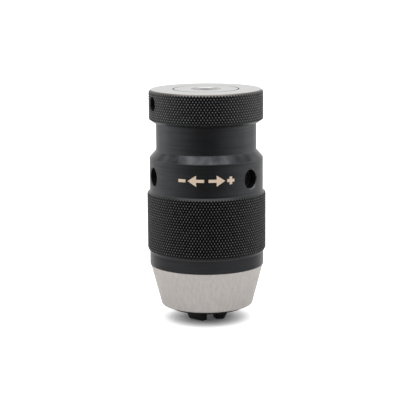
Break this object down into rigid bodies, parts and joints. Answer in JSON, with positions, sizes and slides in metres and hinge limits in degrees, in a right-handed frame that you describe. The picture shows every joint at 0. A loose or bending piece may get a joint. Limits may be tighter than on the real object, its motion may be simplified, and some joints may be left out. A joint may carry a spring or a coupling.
{
  "type": "keyless drill chuck",
  "caption": "Keyless self-tightening drill chuck: knurled black sleeve and rear ring, satin conical nose, jaws on slanted slides, short female taper at the rear.",
  "frame": {"origin": "centre of the taper's mouth in the rear face", "axes": "+Z along the chuck's axis out of the taper, towards the machine spindle; one jaw lies 10 degrees from +X, towards -Y; the chuck stands on its jaw tips below"},
  "size_m": [0.05, 0.05, 0.098],
  "materials": {
    "body_steel": "ground",
    "black_ring": "black oxide, knurled, ground rear face",
    "black_sleeve": "black oxide, satin, knurled grip",
    "satin_nose": "satin, fine turned",
    "guide_steel": "black oxide",
    "jaw_steel": "hardened, dark, ground land",
    "screw_steel": "hardened, ground",
    "race_steel": "ground",
    "ball_steel": "polished",
    "cage_brass": "satin",
    "bush_bronze": "sintered",
    "seal_rubber": "matt",
    "dowel_steel": "ground"
  },
  "bodies": {
    "body": {"chuck_body": "body_steel", "hood_ring": "black_ring", "lower_race": "race_steel"},
    "sleeve_group": {"sleeve": "black_sleeve", "nose_shell": "satin_nose", "jaw_guide": "guide_steel", "guide_dowel_1": "dowel_steel", "guide_dowel_2": "dowel_steel", "guide_dowel_3": "dowel_steel", "upper_race": "race_steel", "neck_bush": "bush_bronze", "neck_seal": "seal_rubber", "front_bush": "bush_bronze"},
    "ball_race": {"ball_cage": "cage_brass", "ball_1": "ball_steel", "ball_2": "ball_steel", "ball_3": "ball_steel", "ball_4": "ball_steel", "ball_5": "ball_steel", "ball_6": "ball_steel", "ball_7": "ball_steel", "ball_8": "ball_steel", "ball_9": "ball_steel", "ball_10": "ball_steel", "ball_11": "ball_steel", "ball_12": "ball_steel", "ball_13": "ball_steel", "ball_14": "ball_steel", "ball_15": "ball_steel", "ball_16": "ball_steel", "ball_17": "ball_steel", "ball_18": "ball_steel"},
    "screw": {"spindle_screw": "screw_steel"},
    "jaw_a": {"jaw_1": "jaw_steel"},
    "jaw_b": {"jaw_2": "jaw_steel"},
    "jaw_c": {"jaw_3": "jaw_steel"}
  },
  "joints": [
    {"name": "sleeve_spin", "type": "hinge", "parent": "body", "child": "sleeve_group", "pos_m": [0, 0, -0.0235], "axis": [0, 0, 1], "range_deg": [-1003, 540]},
    {"name": "cage_spin", "type": "hinge", "parent": "body", "child": "ball_race", "pos_m": [0, 0, -0.0235], "axis": [0, 0, 1], "range_deg": [-502, 270.5]},
    {"name": "screw_slide", "type": "slide", "parent": "sleeve_group", "child": "screw", "axis": [0, 0, -1], "range_m": [-0.00836, 0.0045]},
    {"name": "jaw_a_slide", "type": "slide", "parent": "sleeve_group", "child": "jaw_a", "axis": [-0.4162, 0.0734, -0.9063], "range_m": [-0.00923, 0.00497]},
    {"name": "jaw_b_slide", "type": "slide", "parent": "sleeve_group", "child": "jaw_b", "axis": [0.1445, -0.3971, -0.9063], "range_m": [-0.00923, 0.00497]},
    {"name": "jaw_c_slide", "type": "slide", "parent": "sleeve_group", "child": "jaw_c", "axis": [0.2717, 0.3237, -0.9063], "range_m": [-0.00923, 0.00497]}
  ],
  "couplings": [
    {"joint": "cage_spin", "follows": "sleeve_spin", "ratio": 0.5},
    {"joint": "screw_slide", "follows": "sleeve_spin", "m_per_rad": 0.00047746},
    {"joint": "jaw_a_slide", "follows": "sleeve_spin", "m_per_rad": 0.00052682},
    {"joint": "jaw_b_slide", "follows": "sleeve_spin", "m_per_rad": 0.00052682},
    {"joint": "jaw_c_slide", "follows": "sleeve_spin", "m_per_rad": 0.00052682}
  ]
}
